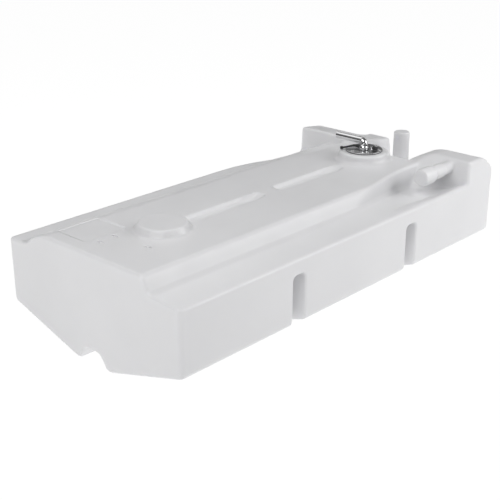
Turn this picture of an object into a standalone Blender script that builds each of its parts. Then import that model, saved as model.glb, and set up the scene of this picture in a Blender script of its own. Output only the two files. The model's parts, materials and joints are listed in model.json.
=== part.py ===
"""Fresh water tank for a food truck or concession trailer.

A hollow rotomoulded tank with a V bottom, a pipe channel along its keel and two strap
grooves. A round neck on the deck carries a steel service flange: a swivelling draw-off
elbow over a dip tube, a float level sender with a short lead, and a capped vent.
Two closed spigots are moulded at the far end, and a drain plug sits low in that end.

Metres. X runs along the tank, Y from its front side to its back, Z up, with the origin
under the middle of the tank on the surface that it stands on.
"""

import math

import bmesh
import bpy
from mathutils import Matrix, Vector

# Tank body
LENGTH = 1.107
WIDTH = 0.540
DECK_Z = 0.253
BLOCK_Z = 0.2716
WALL = 0.005
GAP = 0.0003
END_X = LENGTH / 2
SIDE_Y = WIDTH / 2
STEP = 0.0012
CORNER_RADIUS = 0.030

# Shelves, keel and bottom
FRONT_SHELF_Z = 0.212
BACK_SHELF_Z = 0.218
BOTTOM_SIDE_Z = 0.066
CHANNEL_ROOF_Z = 0.035
KEEL_Y = 0.051
KEEL_HALF = 0.006

# Far end: the deck stops, and two blocks stand each side of a recess
DECK_END_X = 0.420
FRONT_BLOCK_X = 0.386
BLOCK_TOP_X = 0.4445
BACK_BLOCK_X = 0.430
BLOCK_EDGE_Y = -0.135
RECESS_Z = 0.223
RECESS_Y = (-0.037, 0.050)
POCKET_Z = 0.198

# Strap grooves
STRAP_X = (-0.2106, 0.1971)
STRAP_WIDTH = 0.040
STRAP_DEPTH = 0.036
STRAP_TOP_Z = 0.177
STRAP_UNDER = 0.010

# Round features on the deck
BLANK_BOSS = Vector((-0.355, -0.011, DECK_Z))
NECK = Vector((0.346, -0.012, DECK_Z))
NECK_HEIGHT = 0.021
NECK_RADIUS = 0.062
NECK_BORE = 0.032
TOP_SPIGOT = Vector((0.502, -0.0205, RECESS_Z))
TOP_SPIGOT_Z = 0.294
SIDE_SPIGOT = Vector((0.311, -0.211, 0.250))
SPIGOT_RADIUS = 0.0208
SIDE_SPIGOT_NECK = 0.0162
SIDE_SPIGOT_LENGTH = 0.043

# Service flange, in heights above the top of the neck
SEAT = NECK + Vector((0, 0, NECK_HEIGHT))
GASKET = 0.0015
PLATE = 0.002
PLATE_RADIUS = 0.0475
PLATE_LOW = 2 * GAP + GASKET
PLATE_TOP = PLATE_LOW + PLATE
SCREWS = 6
SCREW_CIRCLE = 0.0405
SCREW_PHASE = math.radians(-12)
SCREW_SHANK = 0.0025
SCREW_HEAD = 0.0046
INSERT_RADIUS = 0.0045
INSERT_DEPTH = 0.013

# Fittings on the flange, as offsets from its centre
SENDER = Vector((-0.008, -0.005, 0))
OUTLET = Vector((0.015, 0.010, 0))
VENT = Vector((0.003, -0.022, 0))
SEAL = 0.0008
SEAT_NUT = PLATE_TOP + 2 * GAP + SEAL
NUT_HEIGHT = 0.0030
PIPE_RADIUS = 0.0088
PIPE_BORE = 0.0073
PIPE_AXIS = 0.019
PIPE_END_Y = 0.0985
DIP_RADIUS = 0.008
DIP_BORE = 0.0067
DIP_FOOT_Z = 0.062
STEM_RADIUS = 0.005
STEM_FOOT_Z = 0.050
FLOAT_RADIUS = 0.0155
FLOAT_HEIGHT = 0.036
FLOAT_LOW_Z = 0.0622
FLOAT_TRAVEL = 0.135
VENT_RADIUS = 0.004
VENT_AXIS = 0.0105
VENT_END_Y = -0.034

# Sender lead: a short pigtail that ends in a moulded connector
LEAD_DIAMETER = 0.005
LEAD_Z = 0.0098
LEAD_ROUTE = [
    (-0.0080, 0.0177, 0.0098),
    (-0.0083, 0.0200, 0.0098),
    (-0.0093, 0.0223, 0.0098),
    (-0.0110, 0.0245, 0.0097),
    (-0.0133, 0.0265, 0.0095),
    (-0.0158, 0.0284, 0.0092),
    (-0.0184, 0.0302, 0.0089),
    (-0.0211, 0.0319, 0.0085),
    (-0.0238, 0.0335, 0.0081),
    (-0.0265, 0.0352, 0.0077),
    (-0.0291, 0.0370, 0.0073),
    (-0.0316, 0.0389, 0.0069),
    (-0.0339, 0.0409, 0.0065),
]
CONNECTOR_LENGTH = 0.008
CONNECTOR_RADIUS = 0.0042

# Drain, low in the far end
DRAIN = Vector((END_X, -0.100, 0.048))
DRAIN_RECESS = 0.022
DRAIN_SINK = 0.012
DRAIN_BOSS = 0.018
DRAIN_INSERT = 0.0145
DRAIN_THREAD = 0.0100

ROUND = 48
SMALL_ROUND = 24


def clear_scene():
    for obj in list(bpy.data.objects):
        bpy.data.objects.remove(obj, do_unlink=True)


def make_collection(name, hidden=False):
    group = bpy.data.collections.new(name)
    group.hide_render = hidden
    bpy.context.scene.collection.children.link(group)
    return group


def up(height):
    return Vector((0, 0, height))


def make_material(name, colour, roughness, metallic=0.0):
    made = bpy.data.materials.new(name)
    made.use_nodes = True
    shader = made.node_tree.nodes["Principled BSDF"]
    shader.inputs["Base Color"].default_value = (*colour, 1.0)
    shader.inputs["Roughness"].default_value = roughness
    shader.inputs["Metallic"].default_value = metallic
    return made


clear_scene()
PARTS = make_collection("fresh_water_tank")
CUTTERS = make_collection("cutters", hidden=True)
PLASTIC = make_material("white_polyethylene", (0.80, 0.80, 0.81), 0.42)
STEEL = make_material("stainless_steel", (0.62, 0.62, 0.63), 0.25, 1.0)
CHROME = make_material("chrome", (0.80, 0.80, 0.81), 0.06, 1.0)
BRASS = make_material("brass", (0.72, 0.54, 0.25), 0.30, 1.0)
RUBBER = make_material("black_rubber", (0.02, 0.02, 0.02), 0.60)
BLACK = make_material("black_plastic", (0.015, 0.015, 0.017), 0.35)
FOAM = make_material("grey_float", (0.25, 0.26, 0.27), 0.55)


def add_object(name, mesh, matter=None):
    """A part when it has a material, and otherwise a cutter."""
    obj = bpy.data.objects.new(name, mesh)
    if matter:
        PARTS.objects.link(obj)
        mesh.materials.append(matter)
    else:
        CUTTERS.objects.link(obj)
        obj.hide_render = True
        obj.display_type = "WIRE"
    return obj


def face_outwards(bm):
    bmesh.ops.recalc_face_normals(bm, faces=bm.faces)
    if bm.calc_volume(signed=True) < 0:
        bmesh.ops.reverse_faces(bm, faces=bm.faces)


def mesh_from(bm, name):
    face_outwards(bm)
    mesh = bpy.data.meshes.new(name)
    bm.to_mesh(mesh)
    bm.free()
    return mesh


def shade(obj, angle=35):
    obj.data.shade_smooth()
    obj.data.set_sharp_from_angle(angle=math.radians(angle))
    return obj


def apply_modifiers(obj):
    """Replaces the object's mesh with what its modifiers make of it."""
    graph = bpy.context.evaluated_depsgraph_get()
    graph.update()
    result = bpy.data.meshes.new_from_object(obj.evaluated_get(graph))
    obj.modifiers.clear()
    obj.data = result
    return obj


def combine(target, others, operation):
    """Joins to the target, or cuts from it, each of the other solids."""
    for other in others:
        step = target.modifiers.new(other.name, "BOOLEAN")
        step.operation = operation
        step.solver = "EXACT"
        step.object = other
    return apply_modifiers(target)


def curve_to_mesh(curve, name, matter=None):
    """The closed mesh of a curve object, whose loose caps are welded on."""
    holder = bpy.data.objects.new(name + "_curve", curve)
    CUTTERS.objects.link(holder)
    graph = bpy.context.evaluated_depsgraph_get()
    mesh = bpy.data.meshes.new_from_object(holder.evaluated_get(graph))
    bpy.data.objects.remove(holder, do_unlink=True)
    mesh.name = name
    bm = bmesh.new()
    bm.from_mesh(mesh)
    bmesh.ops.remove_doubles(bm, verts=bm.verts, dist=0.00001)
    face_outwards(bm)
    bm.to_mesh(mesh)
    bm.free()
    mesh.materials.clear()
    return add_object(name, mesh, matter)


def prism(name, outline, low, high):
    """A flat (x, y) outline carried upwards."""
    flat = bpy.data.curves.new(name, "CURVE")
    flat.dimensions = "2D"
    flat.fill_mode = "BOTH"
    flat.extrude = (high - low) / 2
    spline = flat.splines.new("POLY")
    spline.points.add(len(outline) - 1)
    for point, (x, y) in zip(spline.points, outline):
        point.co = (x, y, 0, 1)
    spline.use_cyclic_u = True
    solid = curve_to_mesh(flat, name)
    solid.data.transform(Matrix.Translation((0, 0, (low + high) / 2)))
    return solid


def cylinder(name, centre, radius, height, matter=None, top_radius=None, along=None, sides=ROUND):
    """A cylinder or cone from its base centre, upwards or along another direction."""
    bm = bmesh.new()
    bmesh.ops.create_cone(
        bm,
        cap_ends=True,
        segments=sides,
        radius1=radius,
        radius2=radius if top_radius is None else top_radius,
        depth=height,
    )
    bm.transform(Matrix.Translation((0, 0, height / 2)))
    if along is not None:
        bm.transform(Vector(along).to_track_quat("Z", "Y").to_matrix().to_4x4())
    bm.transform(Matrix.Translation(centre))
    obj = add_object(name, mesh_from(bm, name), matter)
    return shade(obj) if matter else obj


def turned(name, centre, profile, matter=None, sides=ROUND, along=None):
    """A closed ring or a solid of revolution: (radius, height) points down its outer side first."""
    mesh = bpy.data.meshes.new(name)
    edges = [(index, index + 1) for index in range(len(profile) - 1)]
    if profile[0][0] > 0:
        edges.append((len(profile) - 1, 0))
    mesh.from_pydata([(radius, 0, height) for radius, height in profile], edges, [])
    obj = add_object(name, mesh, matter)
    screw = obj.modifiers.new("turn", "SCREW")
    screw.steps = sides
    screw.render_steps = sides
    screw.use_merge_vertices = True
    screw.merge_threshold = 0.00001
    apply_modifiers(obj)
    turn = Matrix.Identity(4)
    if along is not None:
        turn = Vector(along).to_track_quat("Z", "Y").to_matrix().to_4x4()
    bm = bmesh.new()
    bm.from_mesh(obj.data)
    bm.transform(Matrix.Translation(centre) @ turn)
    face_outwards(bm)
    bm.to_mesh(obj.data)
    bm.free()
    return shade(obj) if matter else obj


def ring(name, centre, outer, inner, height, matter=None, sides=ROUND, along=None):
    profile = [(outer, height), (outer, 0), (inner, 0), (inner, height)]
    return turned(name, centre, profile, matter, sides, along)


def hexagon(name, centre, across_flats, height, bore, matter):
    """A hexagonal nut with a plain bore."""
    nut = cylinder(name, centre, across_flats / math.sqrt(3), height, matter, sides=6)
    below = centre - Vector((0, 0, height))
    hole = cylinder(name + "_bore", below, bore, 3 * height, sides=SMALL_ROUND)
    return shade(combine(nut, [hole], "DIFFERENCE"))


def swept(name, points, radius, matter=None, resolution=3):
    """A round bar along points."""
    path = bpy.data.curves.new(name, "CURVE")
    path.dimensions = "3D"
    path.bevel_depth = radius
    path.bevel_resolution = resolution
    path.use_fill_caps = True
    spline = path.splines.new("POLY")
    spline.points.add(len(points) - 1)
    for target, point in zip(spline.points, points):
        target.co = (*point, 1)
    obj = curve_to_mesh(path, name, matter)
    return shade(obj) if matter else obj


def elbow_points(base, bend, far_end, steps=8):
    """A line up from the base, a quarter bend, and a level line to the far end."""
    top = Vector((base.x, base.y, far_end.z))
    level = (far_end - top).normalized()
    centre = top - Vector((0, 0, bend)) + level * bend
    points = [base]
    for step in range(steps + 1):
        angle = math.pi / 2 * step / steps
        points.append(centre - level * bend * math.cos(angle) + Vector((0, 0, bend * math.sin(angle))))
    return points + [far_end]


def follow(track, x):
    """The value at x of a line through (x, value) points, level beyond its ends."""
    if not isinstance(track, (list, tuple)):
        return track
    if x <= track[0][0]:
        return track[0][1]
    for (low, start), (high, end) in zip(track, track[1:]):
        if x <= high:
            return start + (end - start) * (x - low) / (high - low)
    return track[-1][1]


def front_block(before, drop=0.0):
    """A height that climbs the front block's leaning wall, and then its top."""
    foot = FRONT_BLOCK_X + 0.004
    run = BLOCK_TOP_X - foot
    start = max(before[-1][1], 0.214)
    meet = foot + run * (start - 0.214) / (BLOCK_Z - 0.214)
    hold = [(FRONT_BLOCK_X, before[-1][1])] if start == 0.214 else []
    return before + hold + [
        (meet, start - drop),
        (BLOCK_TOP_X, BLOCK_Z - drop),
        (0.500, BLOCK_Z - drop),
        (END_X, 0.262 - drop),
    ]


def back_block(before, drop=0.0):
    """A height that jumps to the back block's top, which falls towards the end."""
    return before + [
        (BACK_BLOCK_X, before[-1][1]),
        (BACK_BLOCK_X + STEP, 0.268 - drop),
        (0.500, 0.264 - drop),
        (END_X, 0.244 - drop),
    ]


def recess(depth):
    return [(DECK_END_X, DECK_Z), (DECK_END_X + 0.006, depth)]


def deck_lines():
    """The lines that run along the deck: (y, z, inward), from its back edge to its front edge.

    Inward is the way that the inner surface lies from each line.
    """
    narrow = (0.176, 0.240)
    turn = (0.272, 0.302)
    floor = [(0.300, POCKET_Z + 0.004), (FRONT_BLOCK_X, POCKET_Z)]
    notch = list(zip(narrow, (0.168, 0.122)))
    foot = list(zip(narrow, (0.172, 0.126)))
    return [
        (SIDE_Y, back_block([(0, 0.194)], 0.016), (-1, 0)),
        (SIDE_Y - 0.018, back_block([(0, BACK_SHELF_Z)]), (-1, -1)),
        (0.226, back_block([(0, BACK_SHELF_Z)]), (0, -1)),
        (0.204, back_block([(0, 0.2262)]), (0, -1)),
        (0.186, back_block(list(zip(narrow, (0.2396, 0.236)))), (-0.5, -1)),
        (foot, back_block(list(zip(narrow, (0.250, 0.238)))), (-1, -1)),
        (notch, back_block([(0, DECK_Z)]), (-1, -1)),
        (RECESS_Y[1] + 0.0025, back_block([(0, DECK_Z)]), (1, -1)),
        (RECESS_Y[1], recess(RECESS_Z), (1, -1)),
        (RECESS_Y[0], recess(RECESS_Z + 0.001), (0, -1)),
        (-0.060, recess(0.234), (0, -1)),
        (-0.089, recess(0.242), (0, -1)),
        (BLOCK_EDGE_Y, front_block([(0, DECK_Z)]), (0, -1)),
        (list(zip(turn, (-0.166, -0.1450))), front_block([(0, DECK_Z)]), (1, -1)),
        (list(zip(turn, (-0.182, -0.1485))), front_block([(0.150, 0.2215)] + floor), (1, -1)),
        (-0.215, front_block([(0.150, 0.2185)] + floor), (0, -1)),
        (-0.2445, front_block([(0.150, 0.2123)] + floor), (0, -1)),
        (-0.248, front_block([(0, FRONT_SHELF_Z)]), (0, -1)),
        (-SIDE_Y + 0.008, front_block([(0, FRONT_SHELF_Z)]), (1, -1)),
        (-SIDE_Y, front_block([(0, FRONT_SHELF_Z - 0.008)], 0.016), (1, 0)),
    ]


def bottom_lines(strapped):
    """(y, z, inward) along the front side, the V bottom with its channel, and the back side."""
    inner = KEEL_Y - KEEL_HALF
    outer = KEEL_Y + KEEL_HALF
    side = SIDE_Y - (STRAP_DEPTH if strapped else 0)
    lift = STRAP_UNDER if strapped else 0
    slope = (BOTTOM_SIDE_Z - 0.004) / (SIDE_Y - 0.010 - outer)
    foot = (side - 0.010 - outer) * slope + lift
    channel = inner * 0.55
    return [
        (-SIDE_Y, STRAP_TOP_Z + 0.002, (1, 0)),
        (-side, STRAP_TOP_Z, (1, 0)),
        (-side, foot + 0.010, (1, 0)),
        (-side + 0.010, foot, (1, 1)),
        (-outer, lift, (0, 1)),
        (-inner, lift, (-1, 1)),
        (-channel, CHANNEL_ROOF_Z, (-1, 1)),
        (channel, CHANNEL_ROOF_Z, (1, 1)),
        (inner, lift, (1, 1)),
        (outer, lift, (0, 1)),
        (side - 0.010, foot, (-1, 1)),
        (side, foot + 0.010, (-1, 0)),
        (side, STRAP_TOP_Z, (-1, 0)),
        (SIDE_Y, STRAP_TOP_Z + 0.002, (-1, 0)),
    ]


def corner_inset(x, inset):
    """How far the sides draw in at x, for the round vertical corners at the ends."""
    radius = CORNER_RADIUS - inset
    reach = abs(x) - (END_X - CORNER_RADIUS)
    if reach <= 0:
        return 0.0
    return radius - math.sqrt(max(radius**2 - min(reach, radius) ** 2, 0))


def section(x, inset=0.0):
    """The tank's outline (y, z) at x, or that of its cavity."""
    strapped = any(abs(x - middle) < STRAP_WIDTH / 2 + STEP / 2 + inset for middle in STRAP_X)
    outline = []
    for y, z, (side, rise) in bottom_lines(strapped) + deck_lines():
        here = follow(y, x) + side * inset
        reach = (x, x - inset, x + inset) if inset and rise < 0 else (x,)
        height = min(follow(z, place) for place in reach) + rise * inset
        rounded = 0.20
        if abs(here) > rounded:
            room = SIDE_Y - inset - rounded
            shrink = (room - corner_inset(x, inset)) / room
            here = math.copysign(rounded + (abs(here) - rounded) * shrink, here)
        outline.append((here, height))
    return outline


def stations(inset):
    """Where the outline is taken along the tank."""
    ends = []
    radius = CORNER_RADIUS - inset
    for step in range(5):
        ends.append(END_X - CORNER_RADIUS + radius * math.sin(math.pi / 2 * step / 4))
    places = ends + [-end for end in ends]
    for middle in STRAP_X:
        half = STRAP_WIDTH / 2 + inset
        places += [middle - half - STEP, middle - half, middle + half, middle + half + STEP]
    for track in deck_lines():
        for line in track[:2]:
            if isinstance(line, list):
                for x, _ in line:
                    places += [x - inset, x + inset] if inset else [x]
    places = sorted(place for place in places if abs(place) <= ends[-1])
    kept = places[:1]
    for place in places[1:]:
        if place - kept[-1] > STEP / 3:
            kept.append(place)
    return kept


def body(name, inset):
    """The tank as a solid: its outer skin, or with an inset its cavity.

    The skin is lofted through unlike sections, which no primitive or modifier makes.
    """
    bm = bmesh.new()
    rings = []
    for x in stations(inset):
        rings.append([bm.verts.new((x, y, z)) for y, z in section(x, inset)])
    for near, far in zip(rings, rings[1:]):
        for index in range(len(near)):
            after = (index + 1) % len(near)
            bm.faces.new((near[index], near[after], far[after], far[index]))
    bm.faces.new(rings[0])
    bm.faces.new(rings[-1])
    bmesh.ops.triangulate(bm, faces=[face for face in bm.faces if len(face.verts) == 4])
    bmesh.ops.dissolve_limit(bm, angle_limit=math.radians(0.3), verts=bm.verts, edges=bm.edges)
    solid = add_object(name, mesh_from(bm, name))
    grooves = [
        flute_cutter(f"{name}_flute_0", -0.284, -0.040, inset),
        flute_cutter(f"{name}_flute_1", 0.008, 0.252, inset),
    ]
    combine(solid, grooves, "DIFFERENCE")
    lift = Vector((0, 0, 0.012))
    boss = cylinder(
        f"{name}_boss", BLANK_BOSS - lift, 0.0675 - inset, 0.0265 - inset, None, 0.052 - inset
    )
    spigot_height = TOP_SPIGOT_Z - RECESS_Z + 0.012 - inset
    top_spigot = cylinder(f"{name}_top_spigot", TOP_SPIGOT - lift, SPIGOT_RADIUS - inset, spigot_height)
    end = SIDE_SPIGOT + Vector((inset, 0, 0))
    bulb_radius = SPIGOT_RADIUS + 0.002 - inset
    bulb = cylinder(f"{name}_bulb", end, bulb_radius, SIDE_SPIGOT_LENGTH - 2 * inset, along=(1, 0, 0))
    near = end + Vector((0.004, 0, 0))
    stalk = cylinder(f"{name}_stalk", near, SIDE_SPIGOT_NECK - inset, 0.130, along=(1, 0, 0), sides=32)
    return combine(solid, [boss, top_spigot, bulb, stalk], "UNION")


def flute_cutter(name, start, end, grow):
    """A long shallow groove with round ends: a capsule that dips into the deck."""
    half_width = 0.019
    depth = 0.006
    radius = (half_width**2 + depth**2) / (2 * depth)
    height = DECK_Z + radius - depth
    reach = radius + grow
    bm = bmesh.new()
    bmesh.ops.create_uvsphere(bm, u_segments=24, v_segments=16, radius=reach)
    bm.transform(Matrix.Rotation(math.pi / 2, 4, "Y"))
    middle = (end - start) / 2 - half_width
    for vert in bm.verts:
        vert.co.x += math.copysign(middle, vert.co.x) if abs(vert.co.x) > 1e-6 else -middle
    bm.transform(Matrix.Translation(((start + end) / 2, -0.010, height)))
    bmesh.ops.remove_doubles(bm, verts=bm.verts, dist=0.00001)
    return add_object(name, mesh_from(bm, name))


def label_cutter():
    """A shallow panel for a label."""
    plan = [(-0.520, 0.034), (-0.404, 0.034), (-0.404, 0.146), (-0.520, 0.146)]
    return prism("label_recess", plan, DECK_Z - 0.002, DECK_Z + 0.01)


def screw_places():
    for index in range(SCREWS):
        angle = 2 * math.pi * index / SCREWS + SCREW_PHASE
        yield index + 1, Vector((math.cos(angle), math.sin(angle), 0)) * SCREW_CIRCLE


def make_shell():
    """The hollow tank: a solid neck with pockets for the inserts, a bore, and the drain's recess."""
    cavity = body("cavity", WALL)
    drain_mass = cylinder(
        "drain_mass",
        DRAIN - Vector((DRAIN_SINK + DRAIN_BOSS, 0, 0)),
        DRAIN_RECESS + WALL,
        DRAIN_SINK + DRAIN_BOSS,
        along=(1, 0, 0),
    )
    combine(cavity, [drain_mass], "DIFFERENCE")
    shell = body("outer_skin", 0.0)
    neck = cylinder(
        "neck", NECK - Vector((0, 0, 0.003)), NECK_RADIUS + 0.005, NECK_HEIGHT + 0.003, None, NECK_RADIUS
    )
    combine(shell, [neck], "UNION")
    cuts = [label_cutter(), cavity, cylinder("neck_bore", NECK - Vector((0, 0, 0.03)), NECK_BORE, 0.08)]
    for index, place in screw_places():
        floor = SEAT + place - Vector((0, 0, INSERT_DEPTH + 2 * GAP))
        cuts.append(cylinder(f"pocket_{index}", floor, INSERT_RADIUS + GAP, 0.03, sides=16))
    sink = DRAIN - Vector((DRAIN_SINK, 0, 0))
    cuts.append(cylinder("drain_sink", sink, DRAIN_RECESS, 0.05, along=(1, 0, 0)))
    hole = DRAIN - Vector((DRAIN_SINK + 0.03, 0, 0))
    cuts.append(cylinder("drain_hole", hole, DRAIN_INSERT + GAP, 0.05, along=(1, 0, 0)))
    combine(shell, cuts, "DIFFERENCE")
    part = add_object("tank_shell", shell.data, PLASTIC)
    bpy.data.objects.remove(shell, do_unlink=True)
    return shade(part, 30)


def make_flange():
    """Gasket, plate, screws and the brass inserts that they turn into."""
    gasket = ring("flange_gasket", SEAT + up(GAP), PLATE_RADIUS - 0.0005, NECK_BORE + 0.001, GASKET, RUBBER)
    plate = cylinder("flange_plate", SEAT + up(PLATE_LOW), PLATE_RADIUS, PLATE, STEEL)
    ports = ((SENDER, STEM_RADIUS + GAP), (OUTLET, DIP_RADIUS + GAP), (VENT, VENT_RADIUS + GAP))
    cuts = [
        cylinder(f"port_{index}", SEAT + place, radius, 0.02, sides=SMALL_ROUND)
        for index, (place, radius) in enumerate(ports)
    ]
    combine(plate, cuts, "DIFFERENCE")
    holes = []
    for index, place in screw_places():
        low = SEAT + place - up(0.01)
        holes.append(cylinder(f"screw_hole_{index}", low, SCREW_SHANK + GAP, 0.03, sides=16))
        make_screw(index, SEAT + place)
        floor = SEAT + place - up(INSERT_DEPTH + GAP)
        ring(f"threaded_insert_{index}", floor, INSERT_RADIUS, SCREW_SHANK + GAP, INSERT_DEPTH, BRASS, 16)
    combine(gasket, holes, "DIFFERENCE")
    combine(plate, holes, "DIFFERENCE")
    shade(gasket)
    shade(plate)


def make_screw(index, place):
    """A socket screw with a low round head."""
    head = PLATE_TOP + GAP
    profile = [
        (0, head + 0.0028),
        (SCREW_HEAD * 0.6, head + 0.0026),
        (SCREW_HEAD * 0.92, head + 0.0017),
        (SCREW_HEAD, head),
        (SCREW_SHANK, head),
        (SCREW_SHANK, -0.0110),
        (0, -0.0118),
    ]
    screw = turned(f"flange_screw_{index}", place, profile, STEEL, 16)
    socket = cylinder(f"socket_{index}", place + up(head + 0.0012), 0.0017, 0.004, sides=6)
    shade(combine(screw, [socket], "DIFFERENCE"))


def make_outlet():
    """A dip tube with a strainer foot, and over it a swivelling elbow clamped on a seal."""
    at = SEAT + OUTLET
    nut_top = SEAT_NUT + NUT_HEIGHT
    axis = at.xy.to_3d()
    dip_length = at.z + nut_top - DIP_FOOT_Z
    ring("dip_tube", axis + up(DIP_FOOT_Z), DIP_RADIUS, DIP_BORE, dip_length, STEEL, SMALL_ROUND)
    foot = axis + up(DIP_FOOT_Z - GAP - 0.014)
    profile = [
        (0.0105, 0.014),
        (0.0105, 0),
        (0, 0),
        (0, 0.0015),
        (0.009, 0.0015),
        (0.009, 0.012),
        (0.0066, 0.012),
        (0.0066, 0.014),
    ]
    strainer = turned("foot_strainer", foot, profile, BLACK, SMALL_ROUND)
    slots = []
    for index in range(4):
        turn = Matrix.Rotation(math.pi / 4 * index, 4, "Z")
        bm = bmesh.new()
        bmesh.ops.create_cube(bm, size=1)
        bmesh.ops.scale(bm, vec=(0.030, 0.0024, 0.0075), verts=bm.verts)
        bm.transform(Matrix.Translation(foot + up(0.0065)) @ turn)
        slots.append(add_object(f"slot_{index}", mesh_from(bm, "slot")))
    shade(combine(strainer, slots, "DIFFERENCE"))
    ring("outlet_seal", at + up(PLATE_TOP + GAP), 0.0112, DIP_RADIUS + GAP, SEAL, RUBBER, SMALL_ROUND)
    hexagon("outlet_nut", at + up(SEAT_NUT), 0.0215, NUT_HEIGHT, DIP_RADIUS + GAP, STEEL)
    base = at + up(nut_top + GAP)
    bend = PIPE_AXIS - nut_top - GAP - 0.0005
    end = Vector((at.x, SEAT.y + PIPE_END_Y, SEAT.z + PIPE_AXIS))
    pipe = swept("outlet_tube", elbow_points(base, bend, end), PIPE_RADIUS, CHROME, 4)
    bore = elbow_points(base - up(0.01), bend, end + Vector((0, 0.01, 0)))
    shade(combine(pipe, [swept("outlet_bore", bore, PIPE_BORE, None, 4)], "DIFFERENCE"))


def make_sender():
    """The level sender: a domed head, a stem, and a float held between two stops."""
    at = SEAT + SENDER
    base = SEAT_NUT
    profile = [(0, PIPE_AXIS)]
    crown = PIPE_AXIS - base - 0.004
    for step in range(1, 9):
        angle = math.pi / 2 * step / 8
        profile.append((0.0120 * math.sin(angle), base + 0.004 + crown * math.cos(angle)))
    profile += [(0.0120, base + 0.0035), (0.0130, base + 0.0030), (0.0130, base)]
    profile += [(STEM_RADIUS + GAP, base), (STEM_RADIUS + GAP, base + 0.006), (0, base + 0.006)]
    head = turned("sender_head", at, profile, CHROME, 32)
    gland_seat = at + Vector((0, 0.0070, LEAD_Z))
    socket = cylinder("gland_socket", gland_seat, 0.0030, 0.02, along=(0, 1, 0), sides=16)
    shade(combine(head, [socket], "DIFFERENCE"))
    ring("sender_seal", at + up(PLATE_TOP + GAP), 0.0125, STEM_RADIUS + GAP, SEAL, RUBBER, SMALL_ROUND)
    hexagon("sender_locknut", at + up(PLATE_LOW - GAP - 0.004), 0.016, 0.004, STEM_RADIUS + GAP, BRASS)
    axis = at.xy.to_3d()
    stem_length = SEAT.z + base + 0.006 - GAP - STEM_FOOT_Z
    cylinder("sender_stem", axis + up(STEM_FOOT_Z), STEM_RADIUS, stem_length, STEEL, sides=SMALL_ROUND)
    low_stop = FLOAT_LOW_Z - GAP - 0.004
    high_stop = FLOAT_LOW_Z + FLOAT_HEIGHT + FLOAT_TRAVEL + GAP
    ring("float_stop_lower", axis + up(low_stop), 0.0080, STEM_RADIUS + GAP, 0.004, BRASS, SMALL_ROUND)
    ring("float_stop_upper", axis + up(high_stop), 0.0080, STEM_RADIUS + GAP, 0.004, BRASS, SMALL_ROUND)
    rim = FLOAT_RADIUS - 0.003
    profile = [
        (rim, FLOAT_HEIGHT),
        (FLOAT_RADIUS, FLOAT_HEIGHT - 0.003),
        (FLOAT_RADIUS, 0.003),
        (rim, 0),
        (STEM_RADIUS + 2 * GAP, 0),
        (STEM_RADIUS + 2 * GAP, FLOAT_HEIGHT),
    ]
    turned("sender_float", axis + up(FLOAT_LOW_Z), profile, FOAM, SMALL_ROUND)


def make_lead():
    """The gland in the sender's side, the pigtail from it and its moulded connector."""
    at = SEAT + SENDER
    neck = at + Vector((0, 0.0073, LEAD_Z))
    profile = [
        (0, 0.0150),
        (0.0036, 0.0150),
        (0.0042, 0.0142),
        (0.0042, 0.0063),
        (0.0027, 0.0063),
        (0.0027, 0),
        (0, 0),
    ]
    turned("cable_gland", neck, profile, BLACK, 16, along=(0, 1, 0))
    route = [SEAT + Vector(point) for point in LEAD_ROUTE]
    swept("sender_lead", route, LEAD_DIAMETER / 2, BLACK, 2)
    along = (route[-1] - route[-2]).normalized()
    profile = [
        (0, CONNECTOR_LENGTH),
        (CONNECTOR_RADIUS * 0.85, CONNECTOR_LENGTH),
        (CONNECTOR_RADIUS, CONNECTOR_LENGTH - 0.0008),
        (CONNECTOR_RADIUS, 0.0030),
        (CONNECTOR_RADIUS * 0.7, 0),
        (0, 0),
    ]
    turned("lead_connector", route[-1] + along * GAP, profile, BLACK, 16, along=along)


def make_vent():
    """A small elbow, closed for transport by a pull-off cap."""
    at = SEAT + VENT
    base = at + up(PLATE_LOW - 0.006)
    end = Vector((at.x, SEAT.y + VENT_END_Y, SEAT.z + VENT_AXIS))
    points = elbow_points(base, 0.0045, end, 5)
    stub = swept("vent_stub", points, VENT_RADIUS, CHROME, 2)
    bore = elbow_points(base - up(0.01), 0.0045, end - Vector((0, 0.01, 0)), 5)
    shade(combine(stub, [swept("vent_bore", bore, 0.0026, None, 2)], "DIFFERENCE"))
    outer = 0.0052
    inner = VENT_RADIUS + GAP
    profile = [
        (0, 0.0115),
        (outer - 0.0008, 0.0115),
        (outer, 0.0105),
        (outer, 0),
        (inner, 0),
        (inner, 0.0085),
        (0, 0.0085),
    ]
    turned("vent_cap", end + Vector((0, 0.0075, 0)), profile, BLACK, SMALL_ROUND, along=(0, -1, 0))


def make_drain():
    """A threaded insert in the far end, closed by a plug on a seal."""
    sink = DRAIN - Vector((DRAIN_SINK, 0, 0))
    outward = (1, 0, 0)
    insert = sink - Vector((0.016, 0, 0))
    ring("drain_insert", insert, DRAIN_INSERT, DRAIN_THREAD + GAP, 0.016, BRASS, 32, outward)
    ring("drain_seal", sink + Vector((GAP, 0, 0)), 0.0135, DRAIN_THREAD + GAP, 0.002, RUBBER, 32, outward)
    face = 2 * GAP + 0.002
    plug = turned(
        "drain_plug",
        sink,
        [
            (0, face + 0.003),
            (0.0145, face + 0.003),
            (0.0145, face),
            (DRAIN_THREAD, face),
            (DRAIN_THREAD, -0.0135),
            (DRAIN_THREAD - 0.001, -0.0145),
            (0, -0.0145),
        ],
        BLACK,
        32,
        outward,
    )
    grip_foot = sink + Vector((face + 0.001, 0, 0))
    grip = cylinder("plug_hexagon", grip_foot, 0.0098, 0.0075, along=outward, sides=6)
    shade(combine(plug, [grip], "UNION"))


make_shell()
make_flange()
make_outlet()
make_sender()
make_lead()
make_vent()
make_drain()
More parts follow.
